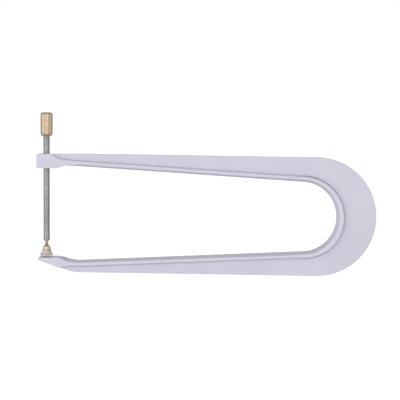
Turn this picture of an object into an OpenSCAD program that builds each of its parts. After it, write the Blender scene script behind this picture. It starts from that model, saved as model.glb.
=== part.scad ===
// Deep-throat screw clamp: a cast C-frame, a knurled-knob screw through the
// upper jaw, and a swivel foot that closes on the anvil of the lower jaw.
// Frame of reference: origin on the anvil face at the screw axis,
// +Z along the screw axis away from the anvil, +X along the throat towards
// the bend, Y across the thickness of the frame. Millimetres.

/* [Throat] */
// Screw axis to the inside of the bend
throat_depth = 216.6; // [190:0.2:240]
// Inside radius of the bend, at the parting line
bend_r = 26; // [25:0.1:27]
// Height of the bend centre above the anvil face
bend_z = 29.95; // [29.4:0.05:30.6]
// Half angle between the two inner edges, which open towards the jaws
arm_taper = 3.1; // [2.9:0.05:3.3]
// Droop of the frame's centre line towards the bend
arm_tilt = 0.9; // [0.7:0.05:1.1]

/* [Casting] */
// Outside radius of the bend
outer_r = 44.3; // [42:0.1:48]
// Outer bend centre, behind the inner one
outer_back = 11.5; // [8:0.5:14]
// Web thickness
web_t = 5; // [4:0.5:7]
// Width of the inner rim along the arms and the bend
rim_w = 14; // [12:0.5:18]
// Depth of the inner rim, measured in the plane of the frame
rim_t = 4.2; // [3.6:0.1:5]

/* [Jaws] */
// Width of both jaws
jaw_w = 12; // [10:0.5:14]
// Anvil face to the underside of the upper jaw
jaw_gap = 66.25; // [65.6:0.05:67]
// Height of the upper jaw's boss
boss_h = 10.8; // [10.2:0.1:11.2]
// Screw axis to the free end of the boss
boss_nose = 6.9; // [5:0.1:9]
// Screw axis to the free end of the anvil
anvil_nose = 5.6; // [5:0.1:8]
// Thickness of the anvil at its free end
anvil_tip = 2; // [1.5:0.1:2.5]

/* [Screw] */
// Nominal thread diameter
screw_d = 5; // [4:0.5:6]
// Radial clearance in the tapped hole
thread_gap = 0.05; // [0.02:0.01:0.1]
// Lower end of the thread, above the anvil
thread_z = 12.15; // [11.8:0.05:15.6]
// Neck diameter between the thread and the foot
neck_d = 2.5; // [2.3:0.05:2.5]
// Knob diameter over its ridges
knob_d = 9.2; // [8:0.1:12]
// Lower end of the knob, above the anvil
knob_z = 90.15; // [84:0.05:100]
// Knob height
knob_h = 17.8; // [14:0.2:24]

/* [Swivel foot] */
// Foot diameter at its clamping face
foot_d = 11; // [10.6:0.1:11.2]
// Foot height
foot_h = 7; // [6.9:0.05:7.2]
// Clamping face above the anvil
foot_gap = 1.4; // [1.3:0.05:1.5]
// Swivel ball diameter
ball_d = 3.4; // [3.3:0.02:3.4]
// Clearance between the ball and its socket
socket_gap = 0.05; // [0.03:0.01:0.08]

/* [Hidden] */
$fn = 96;
bend_x = throat_depth - bend_r;
reach = bend_x + 30;
boss_top = jaw_gap + boss_h;
ball_z = foot_gap + 4.75;
foot_top = foot_gap + foot_h;
ball_flat = 1.3;
spigot_r = 1.0;
head_r = 1.3;
plug_r = 2.2;
mouth_r = 1.5;

// ---- curves -------------------------------------------------------------

// A cubic Bezier curve in n steps
function bez(a, b, c, d, n = 12) = [for (i = [0:n]) let (t = i / n, s = 1 - t)
    s*s*s*a + 3*s*s*t*b + 3*s*t*t*c + t*t*t*d];

// Inner edge of an arm at x, moved e into the material. s is 1 for the upper arm
function inner_z(x, s, e = 0) = let (a = arm_taper + s * arm_tilt)
    bend_z + s * ((bend_r + e) / cos(a) + tan(a) * (bend_x - x));

// Line of the rim where it rises to the top of the boss
rim_blend = bez([4.5, boss_top], [9.3, boss_top - 4.5], [15, boss_top - 4.5], [29, inner_z(29, 1, rim_t)]);

// ---- working planes -----------------------------------------------------

// Puts a drawing of the XZ plane in place, w thick about the middle
module across(w) rotate([90, 0, 0]) linear_extrude(w, center = true) children();

// The frame's own centre line, from the centre of the bend
module on_axis() translate([bend_x, bend_z]) rotate(-arm_tilt) children();

// ---- drawings of the frame ----------------------------------------------

module outer_2d() on_axis() {
    translate([outer_back, 0.25]) circle(outer_r, $fn = 180);
    translate([-reach, 0.25 - outer_r]) square([reach + outer_back, 2 * outer_r]);
}

// Wedge between the arms, moved e into the material
module wedge_2d(e) {
    r = bend_r + e;
    p = [r * sin(arm_taper), r * cos(arm_taper)];
    q = p + (reach + 40) * [-cos(arm_taper), sin(arm_taper)];
    on_axis() polygon([[p.x, -p.y], p, q, [q.x, -q.y]]);
}

module throat_2d(e) {
    wedge_2d(e);
    on_axis() circle(bend_r + e, $fn = 180);
}

// Where the web ends towards the jaws: the boss above, the sloping underside below
module jaw_end_2d() {
    polygon([[2, 40], [2, boss_top], [reach + 80, boss_top], [reach + 80, -30], [25, -30],
        each bez([25, -13.05], [20, -11.7], [18, -10.8], [15, -9.66], 8), [9, -7.4], [9, 40]]);
}

module web_2d() intersection() {
    difference() {
        outer_2d();
        throat_2d(rim_t / 2);
    }
    jaw_end_2d();
}

module rim_2d() intersection() {
    difference() {
        union() {
            wedge_2d(rim_t);
            on_axis() translate([0.9, -0.5]) circle(bend_r + rim_t + 0.7, $fn = 180);
        }
        throat_2d(0);
    }
    polygon([[11.5, 50], [11.5, 90], [reach + 80, 90], [reach + 80, -30], [19, -30], [19, 50]]);
}

module boss_2d() polygon([
    [-boss_nose, boss_top], [-boss_nose, jaw_gap],
    each bez([7.8, jaw_gap], [10.9, jaw_gap], [10.7, jaw_gap + 1.62], [13.8, jaw_gap + 1.62], 8),
    [22.5, inner_z(22.5, 1) + 0.4],
    each [for (i = [12:-1:0]) rim_blend[i]]]);

module anvil_2d() polygon([
    [-anvil_nose, 0],
    each bez([12.4, 0], [15.8, 0], [17.2, inner_z(23.5, -1) + 0.2], [25, inner_z(25, -1) - 0.25], 10),
    each bez([23.5, inner_z(23.5, -1, rim_t) + 0.5], [18, -6.5], [12, -6.9], [9.6, -7.6], 6),
    [-anvil_nose, -anvil_tip]]);

// Everything that is as wide as the rim
module wide_2d() {
    rim_2d();
    boss_2d();
    anvil_2d();
}

// ---- frame --------------------------------------------------------------

// Plan view of the rim: narrow at the jaws, full width at the bend
module plan() linear_extrude(240, center = true) polygon([
    [-30, -jaw_w / 2], [14, -jaw_w / 2], [bend_x, -rim_w / 2], [reach + 60, -rim_w / 2],
    [reach + 60, rim_w / 2], [bend_x, rim_w / 2], [14, jaw_w / 2], [-30, jaw_w / 2]]);

module frame() color([0.80, 0.80, 0.86]) difference() {
    union() {
        across(web_t) web_2d();
        intersection() {
            across(rim_w + 4) wide_2d();
            plan();
        }
    }
    // tapped hole, at the crest diameter of the screw
    translate([0, 0, jaw_gap - 2]) cylinder(r = screw_d / 2 + thread_gap, h = boss_h + 4);
}

// ---- screw --------------------------------------------------------------

module spindle() color([0.55, 0.54, 0.55]) union() {
    // threaded length, chamfered at its lower end
    translate([0, 0, thread_z + 0.6]) cylinder(d = screw_d, h = knob_z + 3 - thread_z - 0.6);
    translate([0, 0, thread_z]) cylinder(r1 = screw_d / 2 - 0.6, r2 = screw_d / 2, h = 0.6, $fn = 96);
    // tenon through the knob
    translate([0, 0, knob_z + 2]) cylinder(r = 1.9, h = knob_h - 2.25);
    // neck down to the shoulder above the ball
    translate([0, 0, ball_z + ball_flat + 0.02]) cylinder(d = neck_d, h = thread_z + 0.3 - ball_z - ball_flat - 0.02);
    // spigot through the ball, and its riveted head
    translate([0, 0, ball_z - 1.8]) cylinder(r = spigot_r, h = 4);
    translate([0, 0, ball_z - 2.03]) cylinder(r1 = head_r - 0.3, r2 = head_r, h = 0.3);
    translate([0, 0, ball_z - 1.73]) cylinder(r = head_r, h = 0.4);
}

module knob() color([0.83, 0.73, 0.55]) rotate_extrude() {
    r = knob_d / 2;
    h = knob_h;
    translate([0, knob_z]) polygon([
        [2.52, 0], [r - 1.85, 0],
        each bez([r - 1.85, 0], [r - 0.9, 0], [r, 1.1], [r, 2.6], 8),
        each bez([r, h - 2.2], [r, h - 0.9], [r - 0.8, h], [r - 2.2, h], 8),
        [1.91, h], [1.91, 3.02], [2.52, 3.02]]);
}

// ---- swivel foot --------------------------------------------------------

module swivel_ball() color([0.62, 0.61, 0.6]) difference() {
    translate([0, 0, ball_z]) sphere(d = ball_d);
    translate([0, 0, ball_z - 3]) cylinder(r = spigot_r + 0.03, h = 6);
    translate([-3, -3, ball_z + ball_flat]) cube([6, 6, 2]);
    translate([-3, -3, ball_z - ball_flat - 2]) cube([6, 6, 2]);
}

// Half profile of the foot's flared side, from the clamping face up
function foot_side() = let (r = foot_d / 2) concat(
    [[r - 0.15, 0], [r, 0.15], [r, 0.65]],
    bez([r, 0.65], [r - 1.1, 1.5], [r - 2.0, 2.9], [r - 2.65, 5.2], 10),
    bez([r - 2.65, 5.2], [r - 2.8, 5.9], [r - 3.0, foot_h], [r - 3.6, foot_h], 6));

module foot() color([0.80, 0.71, 0.58]) difference() {
    translate([0, 0, foot_gap]) rotate_extrude()
        polygon(concat([[0, 0]], foot_side(), [[0, foot_h]]));
    // seat for the plug, ball socket, and the mouth round the neck
    translate([0, 0, foot_gap - 1]) cylinder(r = plug_r, h = ball_z - foot_gap + 1);
    translate([0, 0, ball_z]) sphere(r = ball_d / 2 + socket_gap);
    translate([0, 0, ball_z]) cylinder(r = mouth_r, h = 6);
}

module socket_plug() color([0.70, 0.60, 0.45]) difference() {
    translate([0, 0, foot_gap + 0.2]) cylinder(r = plug_r - 0.01, h = ball_z - foot_gap - 0.25);
    translate([0, 0, ball_z]) sphere(r = ball_d / 2 + socket_gap);
    // room for the riveted head
    translate([0, 0, ball_z - 2.35]) cylinder(r = 1.55, h = 2);
}

frame();
spindle();
knob();
swivel_ball();
foot();
socket_plug();
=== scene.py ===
import math

import bmesh
import bpy
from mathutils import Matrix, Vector


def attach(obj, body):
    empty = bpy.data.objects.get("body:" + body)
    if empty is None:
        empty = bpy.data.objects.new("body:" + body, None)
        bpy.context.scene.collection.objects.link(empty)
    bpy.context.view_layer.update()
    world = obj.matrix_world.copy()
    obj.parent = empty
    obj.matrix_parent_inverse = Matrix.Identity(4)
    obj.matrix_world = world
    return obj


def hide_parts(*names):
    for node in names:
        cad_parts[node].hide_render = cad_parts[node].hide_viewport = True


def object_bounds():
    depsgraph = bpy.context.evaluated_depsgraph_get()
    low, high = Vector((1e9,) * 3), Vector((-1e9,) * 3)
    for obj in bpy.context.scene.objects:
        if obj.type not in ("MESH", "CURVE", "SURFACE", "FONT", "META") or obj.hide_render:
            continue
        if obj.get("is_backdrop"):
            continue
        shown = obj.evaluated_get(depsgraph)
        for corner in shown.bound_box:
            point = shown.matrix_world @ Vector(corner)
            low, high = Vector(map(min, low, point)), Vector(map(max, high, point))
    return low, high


# The picture of a deep-throat screw clamp: a painted C-frame casting, a threaded
# spindle with a ridged brass knob, and a flared brass swivel foot.
# Lengths in this script are millimetres and become metres when a mesh is made.

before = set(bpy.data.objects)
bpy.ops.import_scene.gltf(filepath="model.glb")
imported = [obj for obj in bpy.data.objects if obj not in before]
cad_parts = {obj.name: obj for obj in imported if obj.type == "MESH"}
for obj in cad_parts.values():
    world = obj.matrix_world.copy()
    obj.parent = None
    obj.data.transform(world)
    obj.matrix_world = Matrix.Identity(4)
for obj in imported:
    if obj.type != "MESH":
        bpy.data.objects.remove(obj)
cad_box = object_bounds()
scene = bpy.context.scene
MM = 0.001

# ---- sizes, the same as in part.scad ------------------------------------------

BEND_R, BEND_X, BEND_Z = 26.0, 190.6, 29.95
TAPER, TILT = 3.1, 0.9
OUTER_R, OUTER_BACK = 44.3, 11.5
WEB, RIM_W, JAW_W = 5.0, 14.0, 12.0
RIM_T = 4.2
GAP, TOP = 66.25, 77.05
BOSS_NOSE, ANVIL_NOSE, ANVIL_TIP = 6.9, 5.6, 2.0
SCREW_D, PITCH = 5.0, 0.8
THREAD_Z, NECK_R = 12.15, 1.25
KNOB_Z, KNOB_H, KNOB_R = 90.15, 17.8, 4.6
FOOT_GAP, FOOT_H, FOOT_R = 1.4, 7.0, 5.5
BALL_Z = FOOT_GAP + 4.75


def rad(a):
    return a * math.pi / 180


def smooth(t):
    t = min(max(t, 0.0), 1.0)
    return t * t * (3 - 2 * t)


def bez(a, b, c, d, n=40):
    out = []
    for i in range(n + 1):
        t = i / n
        s = 1 - t
        out.append(tuple(s * s * s * p + 3 * s * s * t * q + 3 * s * t * t * r + t * t * t * w
                         for p, q, r, w in zip(a, b, c, d)))
    return out


def at(curve, x):
    """Height of a drawn curve at x. The curve's points run either way along x."""
    pts = curve if curve[0][0] <= curve[-1][0] else curve[::-1]
    if x <= pts[0][0]:
        return pts[0][1]
    for (x0, z0), (x1, z1) in zip(pts, pts[1:]):
        if x <= x1:
            return z0 + (z1 - z0) * (x - x0) / max(x1 - x0, 1e-9)
    return pts[-1][1]


def inner_z(x, s, e=0.0):
    a = rad(TAPER + s * TILT)
    return BEND_Z + s * ((BEND_R + e) / math.cos(a) + math.tan(a) * (BEND_X - x))


# ---- the frame's section at each station ----------------------------------------

TIN = rad(TILT)
OUT_C = (OUTER_BACK * math.cos(TIN) + 0.25 * math.sin(TIN), -OUTER_BACK * math.sin(TIN) + 0.25 * math.cos(TIN))
RIM_C = (0.9 * math.cos(TIN) - 0.5 * math.sin(TIN), -0.9 * math.sin(TIN) - 0.5 * math.cos(TIN))
RIM_R = BEND_R + RIM_T + 0.7

RIM_UP = bez((4.5, TOP), (9.3, TOP - 4.5), (15, TOP - 4.5), (29, inner_z(29, 1, RIM_T)))
TOP_LO = bez((12.4, 0), (15.8, 0), (17.2, inner_z(23.5, -1) + 0.2), (25, inner_z(25, -1)))
RIM_LO = bez((9.6, -7.6), (12, -6.9), (18, -6.5), (23.5, inner_z(23.5, -1, RIM_T) + 0.2))
WEB_LO = bez((15, -9.72), (18, -10.85), (21, -11.5), (26, -11.52))


def ray_circle(phi, c, r):
    u = (math.cos(phi), math.sin(phi))
    uc = u[0] * c[0] + u[1] * c[1]
    return uc + math.sqrt(max(r * r - c[0] ** 2 - c[1] ** 2 + uc * uc, 0.0))


def outer_line(x, s):
    """Outside edge of an arm."""
    return BEND_Z + OUT_C[1] + s * OUTER_R / math.cos(TIN) - math.tan(TIN) * (x - BEND_X - OUT_C[0])


def column_circle(x, s, c, r):
    dx = x - BEND_X - c[0]
    if abs(dx) >= r:
        return None
    return s * c[1] + math.sqrt(r * r - dx * dx)


def upper(x):
    """Distances from the bend's height up to the ridge, the front edge, the rim's line and the outside."""
    w = half_width(x)
    ridge = min(inner_z(x, 1), GAP + 1.62 * smooth((x - 7.4) / 7.0))
    drop = 1.75 * (w / 7.0)
    edge = ridge + drop * smooth((x - 11) / 15)
    out = min(TOP, outer_line(x, 1))
    if x <= 4.5:
        line = out
    elif x < 29:
        line = min(out, at(RIM_UP, x))
    else:
        line = inner_z(x, 1, RIM_T)
    c = column_circle(x, 1, RIM_C, RIM_R)
    if c is not None and x > BEND_X - 12:
        line = max(line, BEND_Z + c)
    return [v - BEND_Z for v in (ridge, edge, max(line, edge + 0.3), out)]


def lower(x):
    w = half_width(x)
    ridge = inner_z(x, -1) if x > 25 else at(TOP_LO, x)
    drop = 1.75 * (w / 7.0)
    extra = 0.6 * max(0.0, 1 - abs(x - 16.0) / 6.0)
    edge = ridge - (drop + extra) * smooth((x - 8.5) / 6.5)
    if x < 15:
        out = -ANVIL_TIP - 0.3745 * (x + ANVIL_NOSE)
    elif x < 26:
        out = at(WEB_LO, x)
    else:
        out = outer_line(x, -1)
    if x <= 9.6:
        line = out
    elif x < 23.5:
        line = max(out, at(RIM_LO, x))
    else:
        line = inner_z(x, -1, RIM_T) + (0.2 * (30 - x) / 6.5 if x < 30 else 0.0)
    return [BEND_Z - v for v in (ridge, edge, min(line, edge - 0.3), out)]


def bend(phi):
    """The same four distances along a ray from the bend's centre, phi from the horizontal."""
    deg = phi * 180 / math.pi
    if deg > 90 - TAPER - TILT:
        k = 1 / math.cos(phi - rad(90 - TAPER - TILT))
    elif deg < -(90 - TAPER + TILT):
        k = 1 / math.cos(phi + rad(90 - TAPER + TILT))
    else:
        k = 1.0
    ridge = BEND_R * k
    edge = (BEND_R + 1.75) * k
    line = max(ray_circle(phi, RIM_C, RIM_R), (BEND_R + RIM_T) * k if k > 1 else 0)
    line -= 1.0 * smooth((-deg - 38) / 50)
    out = ray_circle(phi, OUT_C, OUTER_R)
    if deg > 45 or deg < -45:
        s = 1 if deg > 0 else -1
        # the arm's straight outside edge, met by this ray
        n = (math.sin(TIN), math.cos(TIN)) if s > 0 else (-math.sin(TIN), -math.cos(TIN))
        dist = OUTER_R + n[0] * OUT_C[0] + n[1] * OUT_C[1]
        along = n[0] * math.cos(phi) + n[1] * math.sin(phi)
        if along > 1e-6:
            d = dist / along
            if d * math.cos(phi) <= OUT_C[0] + OUTER_R * (math.sin(TIN) if s > 0 else -math.sin(TIN)):
                out = d
    return [ridge, edge, line, out]


def half_width(x):
    return JAW_W / 2 + (RIM_W - JAW_W) / 2 * min(max((x - 14) / (BEND_X - 14), 0.0), 1.0)


def stations():
    out = []
    xs = [-BOSS_NOSE + v for v in (0.0, 0.06, 0.18, 0.38, 0.7, 1.2)] + [-4.5, -2.5, 0, 2.0, 3.4, 4.4]
    xs += [4.5 + 0.42 * i for i in range(1, 38)] + [20.2, 20.8, 21.5, 22.3, 23.2, 24.2, 25.4, 26.8, 28.4, 30, 32, 34.5]
    x = 38.0
    while x < 176:
        xs.append(x)
        x += 4.0
    xs += [176, 179, 181.5, 183.5, 185.2, 186.8, 188.3, 189.5]
    for x in xs:
        out.append(((x, BEND_Z), math.pi / 2, upper(x), half_width(x), x + BOSS_NOSE))
    n = 90
    for i in range(n + 1):
        phi = rad(90 - 180 * i / n)
        out.append(((BEND_X, BEND_Z), phi, bend(phi), RIM_W / 2, 99))
    xs = [-ANVIL_NOSE + v for v in (0.0, 0.06, 0.18, 0.38, 0.7, 1.2)] + [-3.2, -1, 1.5, 4.0, 6.0, 7.5]
    xs += [8.0 + 0.45 * i for i in range(0, 36)] + [24.6, 25.4, 26.4, 27.6, 29, 31, 34]
    x = 38.0
    while x < 176:
        xs.append(x)
        x += 4.0
    xs += [176, 179, 181.5, 183.5, 185.2, 186.8, 188.3, 189.5]
    for x in sorted(xs, reverse=True):
        out.append(((x, BEND_Z), -math.pi / 2, lower(x), half_width(x), x + ANVIL_NOSE))
    return out


def rounded(corners, seg=4):
    """A closed line with each corner rounded: (d, y, radius) corners, always the same number of points."""
    pts = []
    n = len(corners)
    for i in range(n):
        p0, p, p1 = corners[i - 1], corners[i], corners[(i + 1) % n]
        a = (p0[0] - p[0], p0[1] - p[1])
        b = (p1[0] - p[0], p1[1] - p[1])
        la, lb = math.hypot(*a), math.hypot(*b)
        if la < 1e-6 or lb < 1e-6:
            pts += [(p[0], p[1])] * (seg + 1)
            continue
        cosang = max(-1.0, min(1.0, (a[0] * b[0] + a[1] * b[1]) / (la * lb)))
        ang = math.acos(cosang)
        t = p[2] / max(math.tan(ang / 2), 1e-3)
        t = min(t, 0.46 * la, 0.46 * lb)
        s = (p[0] + a[0] / la * t, p[1] + a[1] / la * t)
        e = (p[0] + b[0] / lb * t, p[1] + b[1] / lb * t)
        # circle arc through the two tangent points
        r = t * math.tan(ang / 2)
        if ang > rad(176) or r < 1e-5:
            for k in range(seg + 1):
                f = k / seg
                pts.append((s[0] + (e[0] - s[0]) * f, s[1] + (e[1] - s[1]) * f))
            continue
        m = (a[0] / la + b[0] / lb, a[1] / la + b[1] / lb)
        lm = math.hypot(*m)
        h = r / math.sin(ang / 2)
        c = (p[0] + m[0] / lm * h, p[1] + m[1] / lm * h)
        a0 = math.atan2(s[1] - c[1], s[0] - c[0])
        a1 = math.atan2(e[1] - c[1], e[0] - c[0])
        da = (a1 - a0 + math.pi) % (2 * math.pi) - math.pi
        for k in range(seg + 1):
            v = a0 + da * k / seg
            pts.append((c[0] + r * math.cos(v), c[1] + r * math.sin(v)))
    return pts


def section(dist, w, inset, draft):
    """The frame's section at a station, shrunk by inset near a jaw's free end."""
    a, e, j, o = dist
    wb = WEB / 2
    solid = j > o - 0.02
    a += inset
    e += inset
    o -= inset
    j = o if solid else j
    w -= inset
    half = [
        (e, w, 0.3),
        (max(j - draft[0], e + 0.5) if not solid else j, w, 0.3),
        (min(j + draft[1], o) if not solid else j, wb, 0.3 if not solid else 0.0),
        (o, wb - (0.1 if not solid else 0.0), 0.35 if not solid else 0.0),
    ]
    front = [(d, -y, r) for d, y, r in half]
    back = [(d, y, r) for d, y, r in reversed(half)]
    return rounded([(a - (0.12 if e - a > 1.0 else 0.0), 0.0, 1.4)] + front + back)


def make_object(name, verts, faces, sharp=30.0):
    me = bpy.data.meshes.new(name)
    me.from_pydata([(x * MM, y * MM, z * MM) for x, y, z in verts], [], faces)
    bm = bmesh.new()
    bm.from_mesh(me)
    bmesh.ops.remove_doubles(bm, verts=bm.verts, dist=0.8e-6)
    bmesh.ops.dissolve_degenerate(bm, dist=0.5e-6, edges=bm.edges)
    bmesh.ops.recalc_face_normals(bm, faces=bm.faces)
    bm.to_mesh(me)
    bm.free()
    me.update()
    for p in me.polygons:
        p.use_smooth = True
    me.set_sharp_from_angle(angle=rad(sharp))
    ob = bpy.data.objects.new(name, me)
    scene.collection.objects.link(ob)
    return ob


def lathe(name, rows, cols, reshape=None, closed=True, sharp=30.0):
    """Turns (radius, z) rows round the screw's axis. Rows close on themselves where closed."""
    verts, faces = [], []
    for r, z in rows:
        for i in range(cols):
            th = 2 * math.pi * i / cols
            rr = reshape(r, z, th) if reshape else r
            verts.append((rr * math.cos(th), rr * math.sin(th), z))
    n = len(rows)
    last = n if closed else n - 1
    for j in range(last):
        for i in range(cols):
            k = (i + 1) % cols
            j2 = (j + 1) % n
            faces.append((j * cols + i, j * cols + k, j2 * cols + k, j2 * cols + i))
    return make_object(name, verts, faces, sharp)


# ---- frame ------------------------------------------------------------------------

def end_inset(t):
    """How far a jaw's end face draws in, t mm from its free end."""
    r = 0.9
    if t >= r:
        return 0.0
    return r - math.sqrt(max(r * r - (r - t) ** 2, 0.0))


def side_draft(x, phi):
    """How far the rim's side leans back from its line at the front edge, and forward at the web."""
    lean = smooth((x - 4.5) / 8)
    f = math.cos(phi) if x >= BEND_X else 0.0
    low = 0.5 * (1 - math.sin(phi))
    return ((0.45 + 0.45 * f) * lean, (0.5 - 0.1 * f + 0.35 * low * (1 - f)) * lean)


def make_frame():
    verts, faces = [], []
    st = stations()
    n = None
    for (x, z), phi, dist, w, t in st:
        ring = section(dist, w, min(end_inset(t), 0.5 if phi > 0 else 0.22), side_draft(x, phi))
        n = len(ring)
        for d, y in ring:
            verts.append((x + d * math.cos(phi), y, z + d * math.sin(phi)))
    for j in range(len(st) - 1):
        for i in range(n):
            k = (i + 1) % n
            faces.append((j * n + i, j * n + k, (j + 1) * n + k, (j + 1) * n + i))
    faces.append(tuple(range(n)))
    faces.append(tuple(range((len(st) - 1) * n, len(st) * n)))
    ob = make_object("frame_casting", verts, faces)

    # tapped hole with a countersink at both ends
    c = SCREW_D / 2 + 0.05
    rows = [(0, GAP - 1), (c + 1.5, GAP - 1), (c + 0.5, GAP), (c, GAP + 0.5), (c, TOP - 0.5), (c + 0.5, TOP), (c + 1.5, TOP + 1), (0, TOP + 1)]
    cutter = lathe("cutter", rows, 64, closed=False)
    mod = ob.modifiers.new("bore", "BOOLEAN")
    mod.operation = "DIFFERENCE"
    mod.solver = "EXACT"
    mod.object = cutter
    bpy.context.view_layer.update()
    dg = bpy.context.evaluated_depsgraph_get()
    me = bpy.data.meshes.new_from_object(ob.evaluated_get(dg))
    ob.modifiers.clear()
    ob.data = me
    bpy.data.objects.remove(cutter)
    for p in me.polygons:
        p.use_smooth = True
    me.set_sharp_from_angle(angle=rad(30))
    return ob


# ---- spindle ------------------------------------------------------------------------

def make_spindle():
    """A right-hand thread cut on the rod, running from the chamfer above the neck into the knob."""
    cols, per = 32, 6
    z0, z1 = THREAD_Z, KNOB_Z + 2.6
    crest, root = SCREW_D / 2, SCREW_D / 2 - 0.27
    prof = [(0.0, root), (0.06, root), (0.36, crest), (0.64, crest), (0.94, root), (0.97, root)]
    turns = int((z1 - z0) / PITCH) + 3
    verts, faces = [], []
    rows = turns * per
    for i in range(cols + 1):
        th = 2 * math.pi * i / cols
        for j in range(rows):
            f, r = prof[j % per]
            z = z0 - 1.2 * PITCH + (j // per + f + i / cols) * PITCH
            top = min(r, 1.92 + max(z - z0, 0) * 1.0, 1.92 + max(z1 - z, 0) * 1.0)
            z = min(max(z, z0), z1)
            verts.append((top * math.cos(th), top * math.sin(th), z))
    for i in range(cols):
        for j in range(rows - 1):
            a = i * rows + j
            b = (i + 1) * rows + j
            faces.append((a, b, b + 1, a + 1))
    # seam between the last column and the first is one turn up, and remove_doubles closes it
    bm_verts, bm_faces = verts, faces
    base = len(bm_verts)
    tail = [(1.92, z0), (1.5, z0 - 0.0), (NECK_R + 0.25, z0), (NECK_R, z0 - 0.25), (NECK_R, BALL_Z + 1.6), (NECK_R - 0.12, BALL_Z + 1.32),
            (1.0, BALL_Z + 1.32), (1.0, BALL_Z - 1.33), (1.3, BALL_Z - 1.33), (1.3, BALL_Z - 1.73), (1.0, BALL_Z - 2.03), (0.0, BALL_Z - 2.03)]
    head = [(1.92, z1), (1.9, z1), (1.9, KNOB_Z + KNOB_H - 0.55), (1.6, KNOB_Z + KNOB_H - 0.25), (0.5, KNOB_Z + KNOB_H - 0.25), (0.0, KNOB_Z + KNOB_H - 0.25)]
    for rows2 in (tail, head):
        start = len(bm_verts)
        for r, z in rows2:
            for i in range(cols):
                th = 2 * math.pi * i / cols
                bm_verts.append((r * math.cos(th), r * math.sin(th), z))
        for j in range(len(rows2) - 1):
            for i in range(cols):
                k = (i + 1) % cols
                bm_faces.append((start + j * cols + i, start + j * cols + k, start + (j + 1) * cols + k, start + (j + 1) * cols + i))
    return make_object("spindle_rod", bm_verts, bm_faces, 42.0)


# ---- knob ------------------------------------------------------------------------

def make_knob():
    r, h = KNOB_R, KNOB_H
    low = [(2.6, 0.0)] + bez((r - 1.85, 0), (r - 0.9, 0), (r, 1.1), (r, 2.6), 12)
    high = bez((r, h - 2.2), (r, h - 0.9), (r - 0.8, h), (r - 2.2, h), 12)
    side = [(r, 2.6 + (h - 4.8) * i / 10) for i in range(1, 10)]
    bore = [(2.1, h), (1.95, h - 0.12), (1.95, 3.1), (2.55, 3.0), (2.55, 0.1)]
    rows = [(a, KNOB_Z + b) for a, b in low + side + high + bore]

    def ridge(rr, z, th):
        if rr < r - 2.2:
            return rr
        # twelve round-topped ridges, run out where the ends turn in
        u = (th / (2 * math.pi) * 12 - 0.3) % 1.0
        groove = 0.5 + 0.5 * math.cos(2 * math.pi * u)
        groove = smooth(groove * 1.25)
        t = z - KNOB_Z
        fade = smooth((rr - (r - 1.6)) / 1.0)
        return rr - 0.28 * groove * fade

    return lathe("knob_ridged", rows, 144, ridge, sharp=50)


# ---- foot ------------------------------------------------------------------------

def make_foot():
    r = FOOT_R
    side = [(2.22, 0.0), (r - 0.2, 0.0), (r - 0.06, 0.05), (r, 0.14), (r, 0.26), (r - 0.05, 0.34)]
    side += bez((r - 0.08, 0.40), (r - 1.15, 1.3), (r - 2.05, 2.85), (r - 2.65, 5.05), 16)
    side += bez((r - 2.66, 5.2), (r - 2.75, 6.0), (r - 2.95, FOOT_H), (r - 3.6, FOOT_H), 10)
    mouth = [(1.6, FOOT_H), (1.5, FOOT_H - 0.1)]
    c = BALL_Z - FOOT_GAP
    sphere = []
    sr = 1.75
    t0 = math.acos(1.5 / sr)
    for i in range(9):
        a = t0 * (1 - i / 8)
        sphere.append((sr * math.cos(a), c + sr * math.sin(a)))
    rows = side + mouth + sphere + [(2.22, c), (2.22, 0.2)]
    rows = [(a, FOOT_GAP + b) for a, b in rows]
    return lathe("foot_flared", rows, 96, sharp=40)


casting = make_frame()
rod = make_spindle()
knob = make_knob()
foot = make_foot()

# ---- materials ------------------------------------------------------------------------

def new_material(name):
    m = bpy.data.materials.new(name)
    m.use_nodes = True
    nt = m.node_tree
    nt.nodes.clear()
    out = nt.nodes.new("ShaderNodeOutputMaterial")
    bsdf = nt.nodes.new("ShaderNodeBsdfPrincipled")
    nt.links.new(bsdf.outputs[0], out.inputs[0])
    return m, nt, bsdf


def node(nt, kind, **values):
    n = nt.nodes.new(kind)
    for k, v in values.items():
        if hasattr(n, k):
            setattr(n, k, v)
        else:
            n.inputs[k.replace("_", " ")].default_value = v
    return n


def coords(nt, scale=(1, 1, 1)):
    tc = nt.nodes.new("ShaderNodeTexCoord")
    mp = nt.nodes.new("ShaderNodeMapping")
    mp.inputs["Scale"].default_value = scale
    nt.links.new(tc.outputs["Object"], mp.inputs["Vector"])
    return mp.outputs[0]


def ramp(nt, fac, stops):
    r = nt.nodes.new("ShaderNodeValToRGB")
    cr = r.color_ramp
    while len(cr.elements) > 1:
        cr.elements.remove(cr.elements[-1])
    cr.elements[0].position = stops[0][0]
    cr.elements[0].color = stops[0][1]
    for p, c in stops[1:]:
        e = cr.elements.new(p)
        e.color = c
    nt.links.new(fac, r.inputs[0])
    return r.outputs[0]


def grey(v):
    return (v, v, v, 1)


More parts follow.
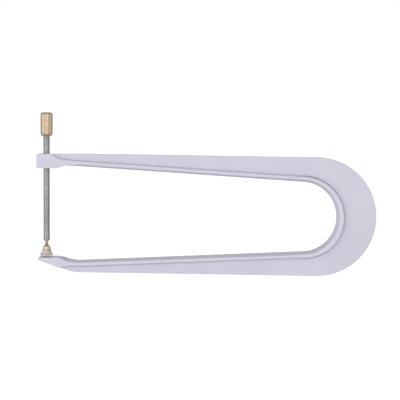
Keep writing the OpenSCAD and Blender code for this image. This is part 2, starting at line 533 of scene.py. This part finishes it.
def paint():
    m, nt, b = new_material("lavender_paint")
    v = coords(nt)
    cloud = node(nt, "ShaderNodeTexNoise", Scale=28.0, Detail=3.0, Roughness=0.55)
    nt.links.new(v, cloud.inputs["Vector"])
    fleck = node(nt, "ShaderNodeTexNoise", Scale=900.0, Detail=2.0)
    nt.links.new(v, fleck.inputs["Vector"])
    base = ramp(nt, cloud.outputs[0], [(0.3, (0.665, 0.655, 0.765, 1)), (0.7, (0.70, 0.69, 0.80, 1))])
    spot = ramp(nt, fleck.outputs[0], [(0.28, grey(0.93)), (0.42, grey(1.0))])
    mix = node(nt, "ShaderNodeMix", data_type="RGBA", blend_type="MULTIPLY")
    mix.inputs[0].default_value = 1.0
    nt.links.new(base, mix.inputs[6])
    nt.links.new(spot, mix.inputs[7])
    # painted shade: the web is made a little darker than the proud faces, and the lower arm's up-facing face is
    # darkened, most of all at the anvil
    tc = nt.nodes.new("ShaderNodeTexCoord")
    pos = nt.nodes.new("ShaderNodeSeparateXYZ")
    nrm = nt.nodes.new("ShaderNodeSeparateXYZ")
    nt.links.new(tc.outputs["Object"], pos.inputs[0])
    nt.links.new(tc.outputs["Normal"], nrm.inputs[0])

    def calc(op, *values):
        n = nt.nodes.new("ShaderNodeMath")
        n.operation = op
        n.use_clamp = op == "MULTIPLY_ADD"
        for i, val in enumerate(values):
            if isinstance(val, float):
                n.inputs[i].default_value = val
            else:
                nt.links.new(val, n.inputs[i])
        return n.outputs[0]

    # painted shade: faces within 3.5 mm of the mid-plane (the web) are made darker than the proud faces
    proud = calc("MULTIPLY_ADD", calc("ABSOLUTE", pos.outputs[1]), 400.0, -1.4)
    web_shade = ramp(nt, proud, [(0.0, grey(0.975)), (1.0, grey(1.0))])
    web_shade_mix = node(nt, "ShaderNodeMix", data_type="RGBA", blend_type="MULTIPLY")
    web_shade_mix.inputs[0].default_value = 1.0
    nt.links.new(mix.outputs[2], web_shade_mix.inputs[6])
    nt.links.new(web_shade, web_shade_mix.inputs[7])
    # painted shade: a dark line in the concave corner where the rim's side meets the web, round the bend
    flat = nt.nodes.new("ShaderNodeCombineXYZ")
    nt.links.new(pos.outputs[0], flat.inputs[0])
    nt.links.new(pos.outputs[2], flat.inputs[2])
    far = nt.nodes.new("ShaderNodeVectorMath")
    far.operation = "DISTANCE"
    nt.links.new(flat.outputs[0], far.inputs[0])
    far.inputs[1].default_value = ((BEND_X + RIM_C[0]) * MM, 0.0, (BEND_Z + RIM_C[1]) * MM)
    off = calc("ABSOLUTE", calc("SUBTRACT", far.outputs["Value"], (RIM_R + 0.12) * MM))
    groove = calc("MULTIPLY_ADD", off, -5000.0, 3.0)
    groove = calc("MULTIPLY", groove, calc("MULTIPLY_ADD", pos.outputs[0], 90.0, -16.6))
    groove = calc("MULTIPLY", groove, calc("MULTIPLY_ADD", pos.outputs[2], 40.0, 0.65))
    groove = calc("MULTIPLY", groove, 0.44)
    crease_shade_mix = node(nt, "ShaderNodeMix", data_type="RGBA")
    nt.links.new(groove, crease_shade_mix.inputs[0])
    nt.links.new(web_shade_mix.outputs[2], crease_shade_mix.inputs[6])
    crease_shade_mix.inputs[7].default_value = (0.20, 0.20, 0.24, 1)
    # painted shade on the up-facing face of the lower arm near the anvil and under the foot, mottled by the cloud
    # noise
    near = calc("MULTIPLY_ADD", calc("MULTIPLY_ADD", pos.outputs[0], -180.0, 3.2), 0.55, 0.05)
    up = calc("MULTIPLY_ADD", nrm.outputs[2], 3.0, -1.5)
    low = calc("MULTIPLY_ADD", pos.outputs[2], -100.0, 1.7)
    anvil_shade_mask = calc("MULTIPLY", calc("MULTIPLY", near, up), low)
    anvil_shade_mask = calc("MULTIPLY", anvil_shade_mask, calc("MULTIPLY_ADD", cloud.outputs[0], 1.4, 0.1))
    anvil_shade_mix = node(nt, "ShaderNodeMix", data_type="RGBA")
    nt.links.new(anvil_shade_mask, anvil_shade_mix.inputs[0])
    nt.links.new(crease_shade_mix.outputs[2], anvil_shade_mix.inputs[6])
    anvil_shade_mix.inputs[7].default_value = (0.35, 0.35, 0.39, 1)
    nt.links.new(anvil_shade_mix.outputs[2], b.inputs["Base Color"])
    rough = ramp(nt, cloud.outputs[0], [(0.25, grey(0.36)), (0.75, grey(0.46))])
    nt.links.new(rough, b.inputs["Roughness"])
    b.inputs["IOR"].default_value = 1.5
    # the cast surface under the paint, and the paint's own fine skin
    cast = node(nt, "ShaderNodeTexNoise", Scale=260.0, Detail=3.0, Roughness=0.6)
    skin = node(nt, "ShaderNodeTexNoise", Scale=1500.0, Detail=1.0)
    nt.links.new(v, cast.inputs["Vector"])
    nt.links.new(v, skin.inputs["Vector"])
    b1 = node(nt, "ShaderNodeBump", Strength=0.25, Distance=0.00015)
    b2 = node(nt, "ShaderNodeBump", Strength=0.2, Distance=0.00003)
    nt.links.new(cast.outputs[0], b1.inputs["Height"])
    nt.links.new(skin.outputs[0], b2.inputs["Height"])
    nt.links.new(b1.outputs[0], b2.inputs["Normal"])
    nt.links.new(b2.outputs[0], b.inputs["Normal"])
    return m


def metal(name, dark, light, rough, ring=0.0, ring_scale=2600.0, cloud_scale=300.0, stain_and_sheen=None):
    """A turned metal: colour drifts in soft clouds, with fine rings round the screw's axis."""
    m, nt, b = new_material(name)
    v = coords(nt)
    cloud = node(nt, "ShaderNodeTexNoise", Scale=cloud_scale, Detail=4.0, Roughness=0.6)
    nt.links.new(v, cloud.inputs["Vector"])
    col = ramp(nt, cloud.outputs[0], [(0.3, dark), (0.7, light)])
    if stain_and_sheen:
        # below a height the metal has another tone: grease on the neck, and on the foot's lower flare a near-white
        # base colour that is a painted highlight
        tc = nt.nodes.new("ShaderNodeTexCoord")
        pos = nt.nodes.new("ShaderNodeSeparateXYZ")
        nt.links.new(tc.outputs["Object"], pos.inputs[0])
        below = nt.nodes.new("ShaderNodeMath")
        below.operation = "MULTIPLY_ADD"
        below.use_clamp = True
        below.inputs[1].default_value = -1500.0
        below.inputs[2].default_value = 1500.0 * stain_and_sheen[1] + 0.5
        nt.links.new(pos.outputs[2], below.inputs[0])
        stain_and_sheen_mix = node(nt, "ShaderNodeMix", data_type="RGBA")
        nt.links.new(below.outputs[0], stain_and_sheen_mix.inputs[0])
        nt.links.new(col, stain_and_sheen_mix.inputs[6])
        stain_and_sheen_mix.inputs[7].default_value = stain_and_sheen[0]
        col = stain_and_sheen_mix.outputs[2]
    nt.links.new(col, b.inputs["Base Color"])
    b.inputs["Metallic"].default_value = 1.0
    rr = ramp(nt, cloud.outputs[0], [(0.3, grey(rough[1])), (0.7, grey(rough[0]))])
    nt.links.new(rr, b.inputs["Roughness"])
    sep = coords(nt, (40, 40, ring_scale))
    rings = node(nt, "ShaderNodeTexNoise", Scale=1.0, Detail=2.0, Roughness=0.7)
    nt.links.new(sep, rings.inputs["Vector"])
    bump = node(nt, "ShaderNodeBump", Strength=ring, Distance=0.00004)
    nt.links.new(rings.outputs[0], bump.inputs["Height"])
    nt.links.new(bump.outputs[0], b.inputs["Normal"])
    return m


PAINT = paint()
STEEL = metal("oiled_steel", (0.44, 0.425, 0.43, 1), (0.56, 0.545, 0.55, 1), (0.34, 0.46), ring=0.25, stain_and_sheen=((0.40, 0.335, 0.315, 1), 0.01145))
BALL = metal("ground_steel", (0.42, 0.42, 0.42, 1), (0.52, 0.52, 0.52, 1), (0.16, 0.26), ring=0.15)
KNOB_BRASS = metal("satin_brass", (0.59, 0.46, 0.325, 1), (0.69, 0.56, 0.40, 1), (0.44, 0.56), ring=0.2, ring_scale=1800.0)
# the foot's lower flare gets a near-white base colour: a painted highlight
FOOT_BRASS = metal("polished_brass", (0.60, 0.525, 0.45, 1), (0.70, 0.62, 0.54, 1), (0.42, 0.52), ring=0.12, stain_and_sheen=((0.99, 0.93, 0.87, 1), 0.0043))
PLUG_BRASS = metal("turned_brass", (0.50, 0.38, 0.20, 1), (0.66, 0.52, 0.30, 1), (0.24, 0.36), ring=0.4)


def dress(ob, m):
    if not ob.material_slots:
        ob.data.materials.append(m)
    for s in ob.material_slots:
        s.material = m


dress(casting, PAINT)
dress(rod, STEEL)
dress(knob, KNOB_BRASS)
dress(foot, FOOT_BRASS)
dress(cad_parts["swivel_ball"], BALL)
dress(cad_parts["socket_plug"], PLUG_BRASS)

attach(casting, "frame")
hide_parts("frame")
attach(rod, "screw")
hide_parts("spindle")
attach(knob, "screw")
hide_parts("knob")
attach(foot, "foot")
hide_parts("foot")

# ---- floor, lights and camera ------------------------------------------------------------

z_floor = -0.01440
bm = bmesh.new()
bmesh.ops.create_grid(bm, x_segments=2, y_segments=2, size=3.0)
me = bpy.data.meshes.new("floor")
bm.to_mesh(me)
bm.free()
floor = bpy.data.objects.new("floor", me)
floor.location = (0.11, 0, z_floor)
scene.collection.objects.link(floor)
m, nt, b = new_material("floor_white")
v = coords(nt)
cloud = node(nt, "ShaderNodeTexNoise", Scale=2.0, Detail=2.0)
nt.links.new(v, cloud.inputs["Vector"])
col = ramp(nt, cloud.outputs[0], [(0.2, grey(0.93)), (0.8, grey(0.95))])
nt.links.new(col, b.inputs["Base Color"])
b.inputs["Roughness"].default_value = 0.9
b.inputs["Specular IOR Level"].default_value = 0.0
# the sweep is lit from below, as a light table is
b.inputs["Emission Color"].default_value = (1, 1, 1, 1)
b.inputs["Emission Strength"].default_value = 0.62
dress(floor, m)
floor.visible_diffuse = False
floor.visible_glossy = False
floor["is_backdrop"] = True

world = bpy.data.worlds.new("studio")
scene.world = world
world.use_nodes = True
wt = world.node_tree
wt.nodes.clear()


def wmath(op, *values):
    n = wt.nodes.new("ShaderNodeMath")
    n.operation = op
    for i, v in enumerate(values):
        if hasattr(v, "default_value") or hasattr(v, "links"):
            wt.links.new(v, n.inputs[i])
        else:
            n.inputs[i].default_value = v
    return n.outputs[0]


# a soft box to each side of the camera, a weaker broad one behind the clamp, and a little light from
# the sides, from overhead and from the pale bench below
tc = wt.nodes.new("ShaderNodeTexCoord")
sep = wt.nodes.new("ShaderNodeSeparateXYZ")
wt.links.new(tc.outputs["Generated"], sep.inputs[0])
x, y, z = sep.outputs[0], sep.outputs[1], sep.outputs[2]


def lobe(direction, power, gain):
    d = Vector(direction).normalized()
    n = wt.nodes.new("ShaderNodeVectorMath")
    n.operation = "DOT_PRODUCT"
    wt.links.new(tc.outputs["Generated"], n.inputs[0])
    n.inputs[1].default_value = d
    return wmath("MULTIPLY", wmath("POWER", wmath("MAXIMUM", n.outputs["Value"], 0.0), power), gain)


parts = [
    lobe((-0.58, -0.80, 0.12), 10.0, 1.95),
    lobe((0.58, -0.80, 0.12), 10.0, 1.40),
    lobe((0, -1, 0), 4.0, 0.47),
    lobe((0, 1, 0), 4.0, 1.1),
    lobe((1, 0, 0), 4.0, 0.22),
    lobe((-1, 0, 0), 4.0, 0.42),
    lobe((0, 0.25, 1), 16.0, 0.60),
    lobe((0, -0.2, -1), 2.0, 0.22),
]
level = 0.272
for p in parts:
    level = wmath("ADD", p, level)
lit = wt.nodes.new("ShaderNodeBackground")
lit.inputs[0].default_value = (1, 1, 1, 1)
wt.links.new(level, lit.inputs[1])
seen = wt.nodes.new("ShaderNodeBackground")
seen.inputs[0].default_value = (1, 1, 1, 1)
seen.inputs[1].default_value = 1.0
path = wt.nodes.new("ShaderNodeLightPath")
both = wt.nodes.new("ShaderNodeMixShader")
wt.links.new(path.outputs["Is Camera Ray"], both.inputs[0])
wt.links.new(lit.outputs[0], both.inputs[1])
wt.links.new(seen.outputs[0], both.inputs[2])
wo = wt.nodes.new("ShaderNodeOutputWorld")
wt.links.new(both.outputs[0], wo.inputs[0])

scene.view_settings.view_transform = "Standard"

cam = bpy.data.cameras.new("camera")
cam.sensor_width = 36
cam.lens = 91.5
cam_ob = bpy.data.objects.new("camera", cam)
cam_ob.location = (0.1147, -0.760, 0.10365)
PITCH_DOWN = rad(0.5)
cam_ob.rotation_euler = (math.pi / 2 - PITCH_DOWN, 0, 0)
# the clamp stands below the level of the lens, in the lower part of a wider picture
cam.shift_y = -(82 / 400 - math.tan(PITCH_DOWN) * cam.lens / cam.sensor_width)
scene.collection.objects.link(cam_ob)
scene.camera = cam_ob

bpy.context.view_layer.update()
final_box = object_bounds()


def plain(v):
    if hasattr(v, "tolist"):
        return plain(v.tolist())
    if isinstance(v, (list, tuple, Vector)):
        return [plain(x) for x in v]
    return float(v)


{"cad": plain(cad_box), "visual": plain(final_box)}
